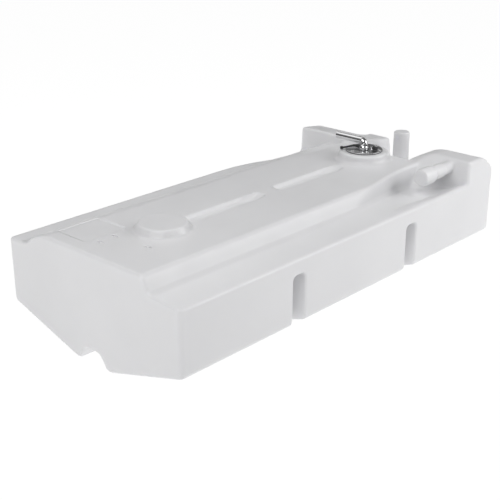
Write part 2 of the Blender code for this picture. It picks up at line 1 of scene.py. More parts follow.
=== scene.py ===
"""Looks of the fresh water tank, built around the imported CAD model.

The tank's skin is a smooth closed surface: a signed distance built from planes, cones and
cylinders that are joined and cut with round edges, then meshed on a fine grid. The metal
fitting on the neck is remade with turned and swept pieces at the CAD nodes' places.
"""

import json
import math

import bpy
import numpy as np
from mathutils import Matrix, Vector


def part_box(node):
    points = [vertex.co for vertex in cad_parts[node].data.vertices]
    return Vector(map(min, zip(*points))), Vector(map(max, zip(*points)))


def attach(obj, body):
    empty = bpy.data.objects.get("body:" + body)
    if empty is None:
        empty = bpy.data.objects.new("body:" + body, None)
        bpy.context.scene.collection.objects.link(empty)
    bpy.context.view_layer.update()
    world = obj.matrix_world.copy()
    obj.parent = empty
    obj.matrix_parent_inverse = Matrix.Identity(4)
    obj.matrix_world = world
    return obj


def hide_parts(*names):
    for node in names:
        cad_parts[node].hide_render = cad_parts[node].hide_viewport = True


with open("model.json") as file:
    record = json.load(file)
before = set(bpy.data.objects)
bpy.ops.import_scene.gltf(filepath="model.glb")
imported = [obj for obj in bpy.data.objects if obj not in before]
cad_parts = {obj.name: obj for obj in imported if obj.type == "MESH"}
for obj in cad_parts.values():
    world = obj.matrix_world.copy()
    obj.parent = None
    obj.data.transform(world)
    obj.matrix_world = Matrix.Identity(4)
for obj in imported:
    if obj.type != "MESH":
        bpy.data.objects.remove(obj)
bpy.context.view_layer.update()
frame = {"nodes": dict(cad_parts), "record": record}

# Camera
CAMERA_PLACE = (-1.6765, -1.4893, 1.0058)
CAMERA_TILT = 67.894
CAMERA_TURN = -47.110
CAMERA_LENS = 71.93
SENSOR = 36.0

# Light: each softbox is (name, place, target, width, height, power)
SOFTBOXES = (
    ("key_softbox", (-2.35, -0.55, 3.25), (0, 0, 0.15), 2.4, 2.0, 86.0),
    ("right_softbox", (1.5, -1.8, 1.35), (0.6, -0.2, 0.15), 1.6, 1.4, 29.0),
    ("far_softbox", (0.6, 1.3, 2.2), (0.3, 0, 0.2), 2.2, 1.4, 9.0),
)
FLOOR_GLOW = 0.97
FLOOR_REACH = 14.0
WORLD_GLOW = 0.14
HORIZON_GLOW = 0.01
HORIZON_BAND = (0.10, 0.30)

# Tank, in metres. A plane is (a point on it, the way it faces), seen edge on.
SHELL_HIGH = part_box("tank_shell")[1]
END_X = SHELL_HIGH.x
SIDE_Y = SHELL_HIGH.y
DECK_Z = 0.253
CORNER_RADIUS = 0.012
FAR_CORNER_SHRINK = 0.006
EDGE = 0.008
ROOT_Z = 0.200

# Deck: its slopes in y and z, its wall beside the pocket and its back notch in x and y
DECK_END_X = 0.4185
DECK_FRONT = ((-0.1660, DECK_Z), (-0.0315, 0.0160))
DECK_BACK = ((0.167, 0.252), (0.0258, 0.032))
POCKET_TURN = ((0.110, -0.1850), (0.0405, -0.195))
POCKET_WALL_Y = -0.1445
POCKET_LEAN = 0.10
NOTCH_SIDE = ((0.176, 0.168), (-0.046, -0.064))
NOTCH_Y = 0.122
NOTCH_Z = 0.2378

# Shelves, recess and the pocket's trough
SHELF_Z = 0.212
SHELF_RISE = ((-0.182, 0.2215), (-0.147, 1.0))
BACK_SHELF_Y = 0.190
BACK_SHELF_Z = 0.218
RECESS_Z = 0.2225
RECESS_Y = (-0.130, 0.050)
RECESS_FALL_X = 0.43
RECESS_FALL = 0.075
LIP_Y = -0.250
TROUGH_X = (0.09, 0.15, 0.30, 0.386)
TROUGH_Z = (0.2225, 0.2185, 0.202, 0.198)
TROUGH_LIP = ((LIP_Y, SHELF_Z), (-1.0, -0.9))

# Raised blocks at the far end
BLOCK_Z = 0.2716
FRONT_WALL_X = 0.4405
FRONT_WALL_TOP = 0.2735
FRONT_WALL_LEAN = 1.08
FRONT_BLOCK_CHAMFER = ((0.512, BLOCK_Z), (0.0346, 0.0415))
FRONT_BLOCK_BACK = ((-0.135, BLOCK_Z), (0.62, 1.0))
BACK_BLOCK_TOP = ((0.430, 0.268), (0.13, 1.0))
BACK_BLOCK_WALL = ((0.4293, 0.238), (-1.0, 0.06))
BACK_BLOCK_CHAMFER = ((0.522, 0.256), (0.020, 0.0315))
BACK_BLOCK_FRONT = ((0.050, 0.223), (-1.0, 0.13))

# Underside and strap grooves
KEEL_OUTER = 0.057
KEEL_INNER = 0.045
BOTTOM_RISE = ((KEEL_OUTER, 0.0), (0.3054, -1.0))
CHANNEL_WALL = ((KEEL_INNER, 0.0), (0.035, 0.0202))
CHANNEL_ROOF_Z = 0.035
STRAP_X = (-0.2106, 0.1971)
STRAP_HALF = 0.020
STRAP_TAPER = 0.06
STRAP_FLOOR_Y = 0.234
STRAP_TOP_Z = 0.177
STRAP_UNDER = 0.010

# Boss, neck and spigots
BOSS = (-0.355, -0.011)
BOSS_TOP_Z = 0.2685
BOSS_FOOT_RADIUS = 0.0625
BOSS_TOP_RADIUS = 0.0535
SEAT = Vector((0.346, -0.012, 0.274))
NECK_FOOT_RADIUS = 0.0665
NECK_TOP_RADIUS = 0.0625
NECK_BORE_RADIUS = 0.0322
NECK_BORE_LOW_Z = 0.236
TOP_SPIGOT = (0.502, -0.0205)
SIDE_SPIGOT = Vector((0.311, -0.211, 0.250))
SPIGOT_RADIUS = 0.0208
SPIGOT_TAPER = 0.012
BULB_SWELL = 0.0015
BULB_LENGTH = 0.043
STALK_RADIUS = 0.0155
STALK_END_X = 0.480
COLLAR_RADIUS = 0.0182
COLLAR_X = 0.384
COLLAR_HALF = 0.019

# Small cuts
FLUTES = ((-0.284, -0.040), (0.008, 0.252))
FLUTE_Y = -0.010
FLUTE_HALF = 0.019
FLUTE_ROUND = 0.016
FLUTE_DEPTH = 0.0095
FLUTE_WALL = ((FLUTE_Y + 0.018, DECK_Z), (1.0, -0.75))
FLUTE_RAMP_BACK = 0.004
FLUTE_RAMP_FACING = (1.0, -4.0)
LABEL = (-0.460, 0.098)
LABEL_HALF = (0.0565, 0.050)
LABEL_ROUND = 0.010
LABEL_DEPTH = 0.0024
LABEL_STEP = (-0.0045, 0.0005)
MARKS = ((-0.492, 0.026), (-0.452, 0.030), (-0.447, -0.066))
MARK_HALF = (0.0040, 0.0075)
MARK_ROUND = 0.002
MARK_DEPTH = 0.0040
DRAIN = (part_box("drain_plug")[0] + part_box("drain_plug")[1]) / 2
DRAIN_RECESS_RADIUS = 0.022
DRAIN_RECESS_DEPTH = 0.012
DRAIN_BORE_RADIUS = 0.0150
DRAIN_BORE_DEPTH = 0.034

# Grid for the skin: stretches as (start, step), finer at small features; the last one ends the row
GRID_X = (
    (-0.5570, 0.003),
    (-0.505, 0.002),
    (-0.435, 0.003),
    (-0.285, 0.0040),
    (-0.245, 0.003),
    (-0.176, 0.006),
    (0.160, 0.003),
    (0.5575, 0),
)
GRID_Y = (
    (-0.2735, 0.0035),
    (-0.130, 0.0045),
    (-0.085, 0.0025),
    (0.045, 0.003),
    (0.150, 0.0040),
    (0.2735, 0),
)
GRID_Z = ((-0.0035, 0.0035), (0.060, 0.0045), (0.160, 0.003), (0.298, 0))
COARSE = 4
NEAR_SKIN = 0.022
BATCHES = 24
SLOPE_REACH = 0.0002
LEAST_SLOPE = 0.2
MOST_STEP = 0.002

# Fitting on the neck: heights are above SEAT
GAP = 0.0003
SENDER = SEAT + Vector((-0.008, -0.005, 0))
OUTLET = SEAT + Vector((0.015, 0.010, 0))
VENT = SEAT + Vector((0.003, -0.022, 0))
GASKET_BORE = 0.0330
GASKET_INSET = 0.0005
GASKET_TOP = GAP + 0.0015
PLATE_LOW = 2 * GAP + 0.0015
PLATE_TOP = PLATE_LOW + 0.002
PLATE_RADIUS = 0.0475
SCREW_COUNT = 6
SCREW_CIRCLE = 0.0405
SCREW_PHASE = -12
SCREW_HEAD = (
    (0.0001, 0),
    (0.0046, 0),
    (0.0045, 0.0010),
    (0.0030, 0.0025),
    (0.0021, 0.0027),
    (0.0017, 0.0024),
    (0.0017, 0.0012),
    (0.0001, 0.0012),
)
SEAT_NUT = PLATE_TOP + 2 * GAP + 0.0008
SENDER_RADIUS = 0.0130
DOME_RADIUS = 0.0120
DOME_STEPS = 16
SHOULDER = 0.004
GLAND_OFFSET = Vector((0, 0.0073, 0.0098))
GLAND = ((0.0027, 0.0045), (0.0042, 0.0063), (0.0042, 0.0100), (0.0035, 0.0150), (0.0028, 0.0150))
PIPE_AXIS = 0.019
PIPE_RADIUS = 0.0088
PIPE_BORE = 0.0073
PIPE_REACH = 0.0985
PIPE_FOOT = SEAT_NUT + 0.0030 + GAP
PIPE_START = 0.0005
VENT_RADIUS = 0.004
VENT_BORE = 0.0026
VENT_BEND = 0.0045
VENT_AXIS = 0.0105
VENT_REACH = 0.034
CAP_OVERLAP = 0.0075
CAP = ((0.0043, 0.0), (0.0052, 0.0), (0.0052, 0.0105), (0.0044, 0.0115), (0.0001, 0.0115))
ROUND = 48
SOFT_STEPS = 4
BEND_STEPS = 14
RIM = 0.0003
LEAST_RADIUS = 0.00001
SHARP_ANGLE = 50

# Lead route, the same points as the CAD model's, as offsets from SEAT
LEAD_DIAMETER = 0.005
CONNECTOR_LENGTH = 0.008
LEAD_ROUTE = [
    (-0.0080, 0.0177, 0.0098),
    (-0.0083, 0.0200, 0.0098),
    (-0.0093, 0.0223, 0.0098),
    (-0.0110, 0.0245, 0.0097),
    (-0.0133, 0.0265, 0.0095),
    (-0.0158, 0.0284, 0.0092),
    (-0.0184, 0.0302, 0.0089),
    (-0.0211, 0.0319, 0.0085),
    (-0.0238, 0.0335, 0.0081),
    (-0.0265, 0.0352, 0.0077),
    (-0.0291, 0.0370, 0.0073),
    (-0.0316, 0.0389, 0.0069),
    (-0.0339, 0.0409, 0.0065),
]


# ---------------------------------------------------------------- materials


class Nodes:
    """A material's node tree, with short calls for the nodes used here."""

    def __init__(self, name, colour, roughness, metallic=0.0, **fixed):
        self.material = bpy.data.materials.new(name)
        self.material.use_nodes = True
        self.tree = self.material.node_tree
        self.shader = self.tree.nodes["Principled BSDF"]
        self.shader.inputs["Base Color"].default_value = (*colour, 1.0)
        self.shader.inputs["Roughness"].default_value = roughness
        self.shader.inputs["Metallic"].default_value = metallic
        for socket, value in fixed.items():
            self.shader.inputs[socket.replace("_", " ")].default_value = value
        self.place = self.tree.nodes.new("ShaderNodeTexCoord").outputs["Object"]
        self.normal = None

    def link(self, output, target):
        self.tree.links.new(output, target)

    def stretched(self, stretch):
        mapping = self.tree.nodes.new("ShaderNodeMapping")
        mapping.inputs["Scale"].default_value = stretch
        self.link(self.place, mapping.inputs["Vector"])
        return mapping.outputs["Vector"]

    def noise(self, scale, detail=2.0, stretch=None):
        made = self.tree.nodes.new("ShaderNodeTexNoise")
        made.inputs["Scale"].default_value = scale
        made.inputs["Detail"].default_value = detail
        self.link(self.stretched(stretch) if stretch else self.place, made.inputs["Vector"])
        return made.outputs["Fac"]

    def spread(self, factor, low, high):
        made = self.tree.nodes.new("ShaderNodeMapRange")
        made.inputs["From Min"].default_value = 0.3
        made.inputs["From Max"].default_value = 0.7
        made.inputs["To Min"].default_value = low
        made.inputs["To Max"].default_value = high
        self.link(factor, made.inputs["Value"])
        return made.outputs["Result"]

    def vary_roughness(self, factor, low, high):
        self.link(self.spread(factor, low, high), self.shader.inputs["Roughness"])

    def vary_colour(self, factor, first, second):
        mix = self.tree.nodes.new("ShaderNodeMix")
        mix.data_type = "RGBA"
        mix.inputs["A"].default_value = (*first, 1.0)
        mix.inputs["B"].default_value = (*second, 1.0)
        self.link(self.spread(factor, 0.0, 1.0), mix.inputs["Factor"])
        self.link(mix.outputs["Result"], self.shader.inputs["Base Color"])

    def bump(self, factor, distance, strength):
        made = self.tree.nodes.new("ShaderNodeBump")
        made.inputs["Distance"].default_value = distance
        made.inputs["Strength"].default_value = strength
        self.link(factor, made.inputs["Height"])
        if self.normal:
            self.link(self.normal, made.inputs["Normal"])
        self.normal = made.outputs["Normal"]
        self.link(self.normal, self.shader.inputs["Normal"])


def polyethylene():
    """Natural rotomoulded plastic: milky, softly shining, with a faint orange peel."""
    made = Nodes("white_polyethylene", (0.78, 0.78, 0.79), 0.40, Subsurface_Weight=0.30, IOR=1.50)
    made.shader.inputs["Subsurface Radius"].default_value = (1.0, 1.0, 1.05)
    made.shader.inputs["Subsurface Scale"].default_value = 0.012
    made.vary_colour(made.noise(5.0, 3.0), (0.765, 0.765, 0.777), (0.795, 0.795, 0.806))
    made.vary_roughness(made.noise(30.0, 4.0), 0.30, 0.42)
    made.bump(made.noise(14.0, 1.0), 0.0010, 0.35)
    made.bump(made.noise(260.0, 2.0), 0.00030, 0.25)
    return made.material


def stainless():
    made = Nodes("stainless_steel", (0.72, 0.72, 0.73), 0.30, 1.0)
    made.vary_roughness(made.noise(40.0, 3.0, (1.0, 9.0, 1.0)), 0.26, 0.36)
    made.vary_colour(made.noise(30.0), (0.70, 0.70, 0.71), (0.76, 0.76, 0.77))
    return made.material


def chrome():
    made = Nodes("chrome", (0.78, 0.78, 0.79), 0.06, 1.0)
    made.vary_roughness(made.noise(160.0, 4.0), 0.03, 0.11)
    made.vary_colour(made.noise(40.0), (0.74, 0.74, 0.75), (0.82, 0.82, 0.83))
    return made.material


def brass():
    made = Nodes("brass", (0.72, 0.54, 0.25), 0.30, 1.0)
    made.vary_roughness(made.noise(240.0, 4.0), 0.20, 0.40)
    made.vary_colour(made.noise(70.0), (0.66, 0.49, 0.22), (0.76, 0.58, 0.29))
    return made.material


def rubber():
    made = Nodes("black_rubber", (0.020, 0.020, 0.021), 0.62)
    made.vary_roughness(made.noise(300.0, 4.0), 0.52, 0.75)
    made.vary_colour(made.noise(120.0), (0.014, 0.014, 0.015), (0.030, 0.030, 0.031))
    made.bump(made.noise(900.0, 2.0), 0.00005, 0.5)
    return made.material


def black_plastic():
    made = Nodes("black_plastic", (0.012, 0.012, 0.013), 0.32)
    made.vary_roughness(made.noise(220.0, 4.0), 0.24, 0.42)
    made.vary_colour(made.noise(90.0), (0.009, 0.009, 0.010), (0.020, 0.020, 0.021))
    made.bump(made.noise(700.0, 2.0), 0.00004, 0.4)
    return made.material


def float_foam():
    made = Nodes("grey_float", (0.22, 0.23, 0.24), 0.60)
    made.vary_colour(made.noise(160.0, 4.0), (0.18, 0.19, 0.20), (0.27, 0.28, 0.29))
    made.vary_roughness(made.noise(200.0), 0.50, 0.72)
    made.bump(made.noise(800.0, 3.0), 0.00010, 0.5)
    return made.material


def floor_paper():
    made = Nodes("pale_floor", (0.06, 0.06, 0.06), 0.75)
    made.shader.inputs["Specular IOR Level"].default_value = 0.1
    made.shader.inputs["Emission Color"].default_value = (1.0, 1.0, 1.0, 1.0)
    made.shader.inputs["Emission Strength"].default_value = FLOOR_GLOW
    return made.material


# ---------------------------------------------------------------- round solid modelling
# The last value given to join, meet and cut is the radius of the edge that they leave.


def join(first, second, radius):
    """The union of two distance fields, with a round inside corner."""
    apart = np.hypot(np.maximum(radius - first, 0), np.maximum(radius - second, 0))
    return np.maximum(radius, np.minimum(first, second)) - apart


def meet(first, second, radius):
    """The overlap of two distance fields, with a round outside edge."""
    apart = np.hypot(np.maximum(radius + first, 0), np.maximum(radius + second, 0))
    return np.minimum(-radius, np.maximum(first, second)) + apart


def cut(solid, tool, radius):
    """The solid less the tool."""
    return meet(solid, -tool, radius)


def tilted(along, up, point, normal):
    """Signed distance from a plane seen edge on: through point, facing the way of normal."""
    size = math.hypot(*normal)
    return ((along - point[0]) * normal[0] + (up - point[1]) * normal[1]) / size


def ease(value, low, high):
    """From 0 at low to 1 at high, smoothly."""
    share = np.clip((value - low) / (high - low), 0, 1)
    return share * share * (3 - 2 * share)


def pad(across, down, half_across, half_down, radius):
    """Distance from a rectangle with round corners."""
    across = np.abs(across) - (half_across - radius)
    down = np.abs(down) - (half_down - radius)
    outside = np.hypot(np.maximum(across, 0), np.maximum(down, 0))
    return outside + np.minimum(np.maximum(across, down), 0) - radius


def cone_field(x, y, z, centre, low, high):
    """A cone's side, from (radius, z) low up to (radius, z) high, without ends."""
    radius = np.hypot(x - centre[0], y - centre[1])
    return tilted(radius, z, low, (high[1] - low[1], low[0] - high[0]))


def standing(side, z, top_z, radius):
    """An upright shape with a flat top, whose foot is buried in the tank."""
    return np.maximum(meet(side, z - top_z, radius), ROOT_Z - z)


# ---------------------------------------------------------------- the tank's shape


def deck_field(x, y, z):
    """The raised deck: its long front slope, cut back beside the pocket by an upright wall."""
    lean = (z - SHELF_Z) * POCKET_LEAN
    pocket_wall = join(tilted(x, y - lean, *POCKET_TURN), POCKET_WALL_Y - y + lean, 0.012)
    front = meet(tilted(y, z, *DECK_FRONT), pocket_wall, 0.007)
    label = pad(x - LABEL[0], y - LABEL[1], *LABEL_HALF, LABEL_ROUND)
    top = z - DECK_Z + LABEL_DEPTH * (1 - ease(label, *LABEL_STEP))
    deck = meet(top, front, 0.008)
    deck = meet(deck, tilted(y, z, *DECK_BACK), 0.022)
    beside_recess = join(RECESS_Y[1] - y, y - RECESS_Y[0], 0.001)
    deck = meet(deck, join(x - DECK_END_X, beside_recess, 0.010), 0.008)
    notch = meet(tilted(x, y, *NOTCH_SIDE), NOTCH_Y - y, 0.012)
    return cut(deck, meet(notch, NOTCH_Z - z, 0.008), 0.008)


def base_field(x, y, z):
    """The lower level: both shelves, the recess at the far end and the pocket's trough."""
    recess = z - (RECESS_Z - RECESS_FALL * np.maximum(x - RECESS_FALL_X, 0))
    shelf = join(tilted(y, z, *SHELF_RISE), z - SHELF_Z, 0.010)
    base = meet(recess, shelf, 0.010)
    back_step = meet(BACK_SHELF_Y - y, BACK_SHELF_Z - z, 0.006)
    base = cut(base, back_step, 0.010)
    floor = np.interp(x, TROUGH_X, TROUGH_Z)
    trough = meet(floor - z, tilted(y, z, *TROUGH_LIP), 0.014)
    return cut(base, trough, 0.010)


def front_block_field(x, y, z):
    """Its wall over the pocket is upright at the front and leans back further in."""
    lean = FRONT_WALL_LEAN * ease(y, LIP_Y, -0.150)
    wall = (FRONT_WALL_X - lean * (FRONT_WALL_TOP - z) - x) / np.sqrt(1 + lean**2)
    block = meet(z - BLOCK_Z, wall, 0.008 + 0.008 * ease(y, LIP_Y, -0.180))
    block = meet(block, tilted(x, z, *FRONT_BLOCK_CHAMFER), 0.012)
    return meet(block, tilted(y, z, *FRONT_BLOCK_BACK), 0.016)


def back_block_field(x, y, z):
    """The block behind the recess, which falls gently to the far end."""
    block = meet(tilted(x, z, *BACK_BLOCK_TOP), tilted(x, z, *BACK_BLOCK_WALL), 0.009)
    block = meet(block, tilted(x, z, *BACK_BLOCK_CHAMFER), 0.012)
    return meet(block, tilted(y, z, *BACK_BLOCK_FRONT), 0.012)


def side_spigot_field(x, y, z):
    """The spigot that points back along the tank: a closed bulb, a collar and a stalk."""
    reach = np.hypot(y - SIDE_SPIGOT.y, z - SIDE_SPIGOT.z)
    start = SIDE_SPIGOT.x - x
    bulb = meet(reach - SPIGOT_RADIUS - BULB_SWELL * ease(x, 0.31, 0.33), start, 0.004)
    bulb = meet(bulb, x - SIDE_SPIGOT.x - BULB_LENGTH, 0.005)
    stalk = np.maximum(reach - STALK_RADIUS, np.maximum(start + 0.004, x - STALK_END_X))
    collar = meet(reach - COLLAR_RADIUS, np.abs(x - COLLAR_X) - COLLAR_HALF, 0.004)
    return join(join(bulb, stalk, 0.003), collar, 0.003)


def round_features(body, x, y, z):
    """Adds the blank boss, the neck and both spigots."""
    boss = cone_field(x, y, z, BOSS, (BOSS_FOOT_RADIUS, DECK_Z), (BOSS_TOP_RADIUS, BOSS_TOP_Z))
    body = join(body, standing(boss, z, BOSS_TOP_Z, 0.003), 0.003)
    neck = cone_field(x, y, z, SEAT, (NECK_FOOT_RADIUS, DECK_Z), (NECK_TOP_RADIUS, SEAT.z))
    body = join(body, standing(neck, z, SEAT.z, 0.005), 0.010)
    spigot = np.hypot(x - TOP_SPIGOT[0], y - TOP_SPIGOT[1]) - SPIGOT_RADIUS
    spigot = spigot - (SHELL_HIGH.z - z) * SPIGOT_TAPER
    body = join(body, standing(spigot, z, SHELL_HIGH.z, 0.0035), 0.006)
    return join(body, side_spigot_field(x, y, z), 0.005)


def cut_flutes(body, x, y, z):
    """Each flute has a slanting far wall and a ramp at its far end."""
    for start, end in FLUTES:
        half = (end - start) / 2
        flute = pad(x - start - half, y - FLUTE_Y, half, FLUTE_HALF, FLUTE_ROUND)
        flute = meet(flute, tilted(y, z, *FLUTE_WALL), 0.004)
        ramp = tilted(x, z, (end - FLUTE_RAMP_BACK, DECK_Z), FLUTE_RAMP_FACING)
        flute = meet(flute, ramp, 0.010)
        body = cut(body, meet(flute, DECK_Z - FLUTE_DEPTH - z, 0.003), 0.003)
    return body


def small_cuts(body, x, y, z):
    """Cuts the flutes, the moulded marks, the neck's bore and the drain's recess and bore."""
    body = cut_flutes(body, x, y, z)
    for mark_x, mark_y in MARKS:
        mark = pad(x - mark_x, y - mark_y, *MARK_HALF, MARK_ROUND)
        body = cut(body, np.maximum(mark, DECK_Z - MARK_DEPTH - z), 0.0010)
    bore = np.hypot(x - SEAT.x, y - SEAT.y) - NECK_BORE_RADIUS
    body = cut(body, np.maximum(bore, NECK_BORE_LOW_Z - z), 0.001)
    reach = np.hypot(y - DRAIN.y, z - DRAIN.z)
    recess = np.maximum(reach - DRAIN_RECESS_RADIUS, END_X - DRAIN_RECESS_DEPTH - x)
    body = cut(body, recess, 0.003)
    return cut(body, np.maximum(reach - DRAIN_BORE_RADIUS, END_X - DRAIN_BORE_DEPTH - x), 0.0006)


def cut_underside(body, x, y, z):
    """Cuts the V bottom, the channel between the keels and the strap grooves."""
    side = np.abs(y)
    under = meet(-z, tilted(side, z, *BOTTOM_RISE), 0.004)
    body = meet(body, under, 0.012)
    channel = meet(tilted(side, z, *CHANNEL_WALL), z - CHANNEL_ROOF_Z, 0.010)
    body = cut(body, np.maximum(channel, -z - 0.02), 0.005)
    inner = meet(side - STRAP_FLOOR_Y, under + STRAP_UNDER, 0.014)
    for middle in STRAP_X:
        width = np.abs(x - middle) - STRAP_HALF - STRAP_TAPER * (side - SIDE_Y)
        groove = meet(width, z - STRAP_TOP_Z, 0.013)
        body = cut(body, meet(groove, -inner, 0.006), 0.005)
    return body


def tank_field(points):
    """Signed distance from the tank's skin, negative inside."""
    x, y, z = points.T
    body = join(base_field(x, y, z), deck_field(x, y, z), 0.012)
    body = join(body, front_block_field(x, y, z), 0.007)
    body = join(body, back_block_field(x, y, z), 0.010)
    corner = CORNER_RADIUS - FAR_CORNER_SHRINK * ease(x, 0.30, 0.50)
    body = meet(body, pad(x, y, END_X, SIDE_Y, corner), EDGE)
    body = cut_underside(body, x, y, z)
    body = round_features(body, x, y, z)
    return small_cuts(body, x, y, z)


# ---------------------------------------------------------------- meshing


def ticks(*stretches):
    """Grid lines from (start, step) stretches, the last of which only ends the row."""
    lines = []
    for (start, step), (end, _) in zip(stretches, stretches[1:]):
        count = max(1, round((end - start) / step))
        lines += [start + (end - start) * index / count for index in range(count)]
    return np.array(lines + [stretches[-1][0]])


def field_values(field, lines):
    """The field on the grid: exact near the skin, and roughly right elsewhere."""
    shape = [len(line) for line in lines]
    coarse_lines = []
    for line in lines:
        picked = np.arange(0, len(line) + COARSE, COARSE)
        coarse_lines.append(line[np.minimum(picked, len(line) - 1)])
    corners = np.stack(np.meshgrid(*coarse_lines, indexing="ij"), -1).reshape(-1, 3)
    coarse = field(corners).reshape([len(line) for line in coarse_lines])
    values = coarse
    for axis in range(3):
        values = np.repeat(values, COARSE, axis)
    half = COARSE // 2
    values = values[half : half + shape[0], half : half + shape[1], half : half + shape[2]].copy()
    near = np.argwhere(np.abs(values) < NEAR_SKIN)
    points = np.stack([lines[axis][near[:, axis]] for axis in range(3)], -1)
    exact = [field(batch) for batch in np.array_split(points, BATCHES)]
    values[tuple(near.T)] = np.concatenate(exact)
    return values


def skin_of(field, lines):
    """(points, quads) of the surface where the field is zero, by surface nets."""
    values = field_values(field, lines)
    inside = values < 0
    cells = tuple(size - 1 for size in values.shape)
    total = np.zeros((*cells, 3))
    count = np.zeros(cells)
    crossings = []
    for axis in range(3):
        low = [slice(None)] * 3
        high = [slice(None)] * 3
        low[axis] = slice(None, -1)
        high[axis] = slice(1, None)
        low, high = tuple(low), tuple(high)
        found = np.argwhere(inside[low] != inside[high])
        start = values[low][tuple(found.T)]
        share = start / (start - values[high][tuple(found.T)])
        places = np.stack([lines[other][found[:, other]] for other in range(3)], -1)
        step = lines[axis][found[:, axis] + 1] - lines[axis][found[:, axis]]
        places[:, axis] += share * step
        crossings.append((axis, found, inside[low][tuple(found.T)]))
        first, second = [other for other in range(3) if other != axis]
        for back_first in (0, 1):
            for back_second in (0, 1):
                cell = found.copy()
                cell[:, first] -= back_first
                cell[:, second] -= back_second
                np.add.at(total, tuple(cell.T), places)
                np.add.at(count, tuple(cell.T), 1)
    used = np.argwhere(count > 0)
    number = np.full(cells, -1)
    number[tuple(used.T)] = np.arange(len(used))
    points = total[tuple(used.T)] / count[tuple(used.T)][:, None]
    quads = []
    for axis, found, leaving in crossings:
        first, second = (axis + 1) % 3, (axis + 2) % 3
        corners = []
        for back_first, back_second in ((1, 1), (0, 1), (0, 0), (1, 0)):
            cell = found.copy()
            cell[:, first] -= back_first
            cell[:, second] -= back_second
            corners.append(number[tuple(cell.T)])
        face = np.stack(corners, -1)
        quads.append(np.where(leaving[:, None], face, face[:, ::-1]))
    return points, np.concatenate(quads)


def slope_of(field, points):
    """The field's gradient at the points."""
    columns = []
    for axis in range(3):
        ahead = points.copy()
        behind = points.copy()
        ahead[:, axis] += SLOPE_REACH
        behind[:, axis] -= SLOPE_REACH
        columns.append((field(ahead) - field(behind)) / (2 * SLOPE_REACH))
    return np.stack(columns, -1)


def settle(field, points, rounds):
    """Moves the points along the field's slope onto the skin."""
    for _ in range(rounds):
        slope = slope_of(field, points)
        size = np.maximum((slope**2).sum(1), LEAST_SLOPE)
        step = (field(points) / size)[:, None] * slope
        points = points - np.clip(step, -MOST_STEP, MOST_STEP)
    return points


def even_out(points, quads):
    """Each point halfway to the mean of its neighbours."""
    total = np.zeros_like(points)
    count = np.zeros(len(points))
    for corner in range(4):
        near, far = quads[:, corner], quads[:, (corner + 1) % 4]
        for one, other in ((near, far), (far, near)):
            for axis in range(3):
                total[:, axis] += np.bincount(one, points[other, axis], len(points))
            count += np.bincount(one, minlength=len(points))
    return (points + total / count[:, None]) / 2


def make_object(name, points, faces, material):
    mesh = bpy.data.meshes.new(name)
    mesh.from_pydata(points, [], faces)
    mesh.shade_smooth()
    mesh.materials.append(material)
    made = bpy.data.objects.new(name, mesh)
    bpy.context.scene.collection.objects.link(made)
    return made


def make_tank(material):
    """The skin, with normals taken from the field's slope, so that large faces shade smoothly."""
    lines = (ticks(*GRID_X), ticks(*GRID_Y), ticks(*GRID_Z))
    points, quads = skin_of(tank_field, lines)
    points = settle(tank_field, points, 3)
    for _ in range(2):
        points = settle(tank_field, even_out(points, quads), 2)
    tank = make_object("tank_skin", points.tolist(), quads.tolist(), material)
    tank.data.normals_split_custom_set_from_vertices(slope_of(tank_field, points).tolist())
    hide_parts("tank_shell")
    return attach(tank, "tank")


# ---------------------------------------------------------------- turned and swept pieces


def rings_between(rings):
    """(points, faces) of a closed skin over rings of points, all of the same number."""
    count = len(rings[0])
    points = [point for one in rings for point in one]
    faces = []
    for row in range(len(rings) - 1):
        for step in range(count):
            after = (step + 1) % count
            low, high = row * count, (row + 1) * count
            faces.append((low + step, low + after, high + after, high + step))
    faces.append(tuple(range(count - 1, -1, -1)))
    faces.append(tuple(range(len(points) - count, len(points))))
    return points, faces


def circle(centre, side, up, radius):
    """Points round centre, in the plane of side and up."""
    turns = [2 * math.pi * step / ROUND for step in range(ROUND)]
    return [
        centre + side * (radius * math.cos(turn)) + up * (radius * math.sin(turn))
        for turn in turns
    ]


def soften(corners, radius):
    """The line through corners with each inner corner rounded."""
    line = [corners[0]]
    for before, corner, after in zip(corners, corners[1:], corners[2:]):
        before, corner, after = Vector(before), Vector(corner), Vector(after)
        reach = min(radius, (before - corner).length * 0.45, (after - corner).length * 0.45)
        start = corner + (before - corner).normalized() * reach
        end = corner + (after - corner).normalized() * reach
        for step in range(SOFT_STEPS + 1):
            share = step / SOFT_STEPS
            point = start * (1 - share) ** 2 + corner * (2 * share * (1 - share)) + end * share**2
            line.append(tuple(point))
    return [*line, corners[-1]]


def dressed(name, points, faces, material, body, nodes):
    """Makes the piece, in place of these CAD nodes and riding this body."""
    made = make_object(name, [tuple(point) for point in points], faces, LOOKS[material])
    made.data.set_sharp_from_angle(angle=math.radians(SHARP_ANGLE))
    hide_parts(*nodes)
    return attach(made, body)


def turned(name, place, profile, material, body, nodes, along=(0, 0, 1), round_off=0.0004):
    """A turned piece: profile is (radius, height) from foot to top, rounded at its corners."""
    along = Vector(along).normalized()
    side = along.orthogonal().normalized()
    up = along.cross(side)
    rings = []
    for radius, height in soften(profile, round_off):
        rings.append(circle(place + along * height, side, up, max(radius, LEAST_RADIUS)))
    points, faces = rings_between(rings)
    return dressed(name, points, faces, material, body, nodes)


